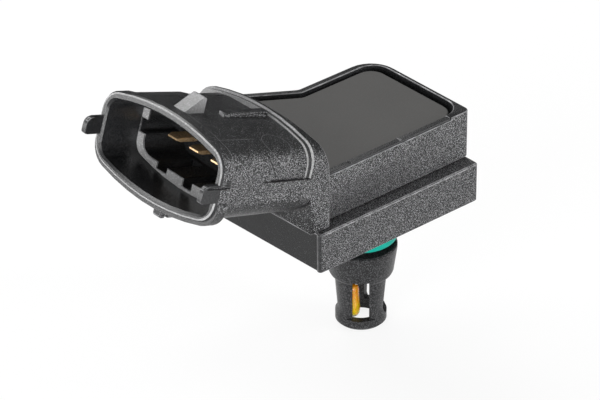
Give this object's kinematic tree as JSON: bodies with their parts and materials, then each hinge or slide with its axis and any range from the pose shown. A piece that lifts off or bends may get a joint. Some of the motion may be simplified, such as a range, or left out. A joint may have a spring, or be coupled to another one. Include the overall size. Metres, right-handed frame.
{
  "type": "manifold absolute pressure sensor",
  "caption": "Flange-mounted intake pressure and air temperature sensor: caged probe with teal O-ring below, boxy housing with grey cover, and a tilted oval connector shroud.",
  "frame": {"origin": "on the axis of the pressure port, in the plane of the base's underside that seats on the manifold", "axes": "+Z out of the manifold along the port's axis, -X towards the connector's mouth, +Y towards the mounting ear"},
  "size_m": [0.0621, 0.0498, 0.0586],
  "materials": {
    "housing": "fine spark-eroded texture, glass-filled polymer",
    "base": "fine spark-eroded texture, glass-filled polymer",
    "cover": "plain dull plastic",
    "seal": "cured adhesive",
    "bush": "zinc-plated and turned",
    "o_ring": "teal elastomer, slightly greased",
    "bead": "amber resin",
    "lead": "tinned wire",
    "board": "white alumina",
    "pedestal": "borosilicate",
    "die": "silicon",
    "dam": "moulded frame",
    "gel": "clear soft silicone",
    "chip": "moulded package",
    "terminal": "gold plated",
    "capacitor": "fired ceramic",
    "ribbon": "bright wire"
  },
  "bodies": {
    "root": {"housing_upper": "housing", "port_body": "base", "cover_lid": "cover", "cover_seal": "seal", "joint_seal": "seal", "mounting_bush": "bush", "o_ring": "o_ring", "thermistor_bead": "bead", "thermistor_lead_1": "lead", "thermistor_lead_2": "lead", "circuit_board": "board", "chip_pedestal": "pedestal", "pressure_die": "die", "gel_dam": "dam", "protective_gel": "gel", "signal_chip": "chip", "terminal_1": "terminal", "capacitor_1": "capacitor", "bond_ribbon_1": "ribbon", "terminal_2": "terminal", "capacitor_2": "capacitor", "bond_ribbon_2": "ribbon", "terminal_3": "terminal", "capacitor_3": "capacitor", "bond_ribbon_3": "ribbon", "terminal_4": "terminal", "capacitor_4": "capacitor", "bond_ribbon_4": "ribbon"}
  },
  "joints": []
}
